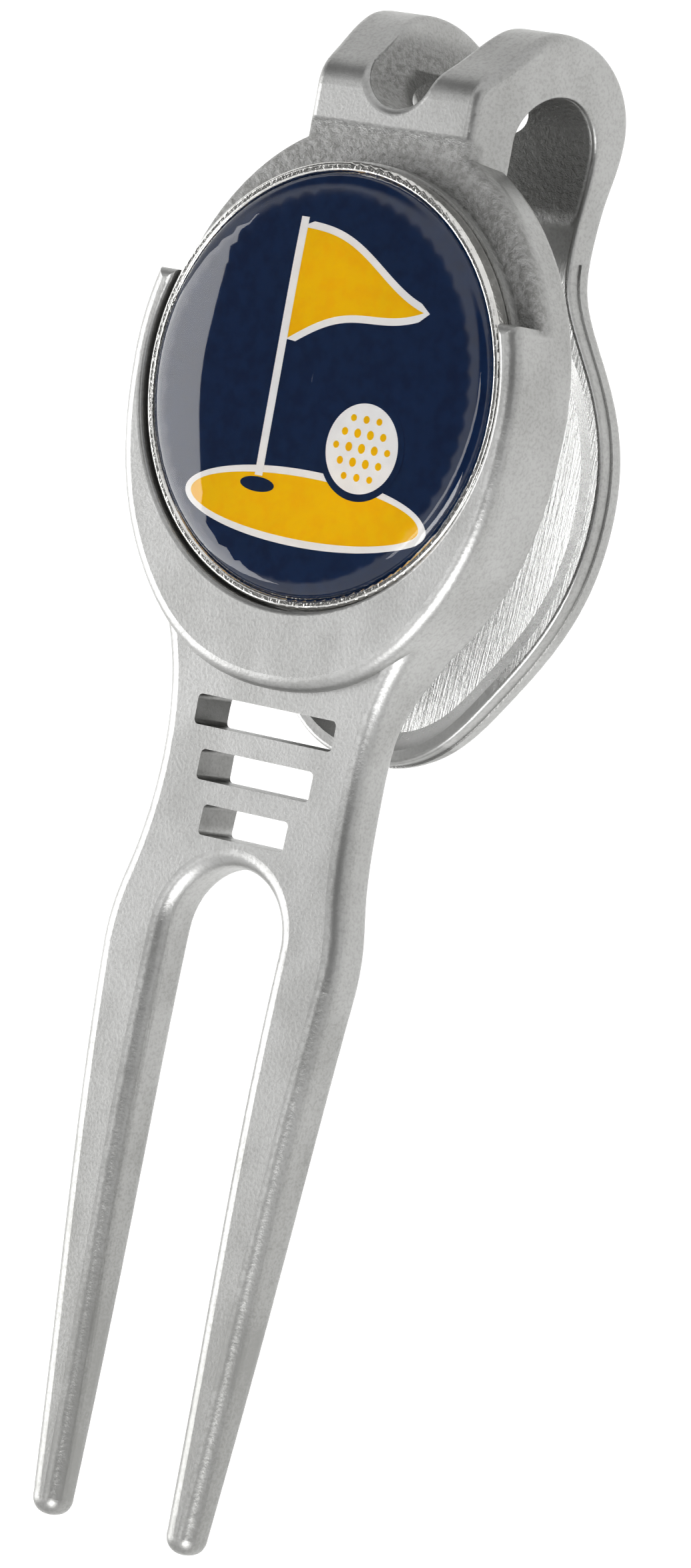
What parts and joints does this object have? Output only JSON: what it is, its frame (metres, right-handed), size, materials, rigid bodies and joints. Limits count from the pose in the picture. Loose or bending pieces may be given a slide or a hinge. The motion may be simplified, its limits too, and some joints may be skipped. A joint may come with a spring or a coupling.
{
  "type": "divot repair tool",
  "caption": "Cast two-prong golf divot repair tool with a dished cap clip, a club rest notch and a lift-off magnetic ball marker.",
  "frame": {"origin": "middle of the length and width, at the level of the back of the loop, which is the lowest point", "axes": "+Y from the fork tips to the loop, +Z out of the front of the ball marker, +X to the right seen from the front with the loop up"},
  "size_m": [0.028, 0.088, 0.0161],
  "materials": {
    "satin_nickel": "satin nickel plate on a zinc die casting, as cast in the tunnel and on the land",
    "magnet_nickel": "nickel plate",
    "glue": "cured epoxy",
    "bright_nickel": "bright nickel plate",
    "printed_label": "printed film",
    "clear_epoxy": "clear glossy epoxy dome"
  },
  "bodies": {
    "tool": {"tool_body": "satin_nickel", "magnet": "magnet_nickel", "magnet_glue": "glue"},
    "marker": {"marker_cup": "bright_nickel", "marker_label": "printed_label", "marker_dome": "clear_epoxy"}
  },
  "joints": [
    {"name": "marker_lift", "type": "slide", "parent": "tool", "child": "marker", "axis": [0, 0, 1], "range_m": [0, 0.03]}
  ]
}
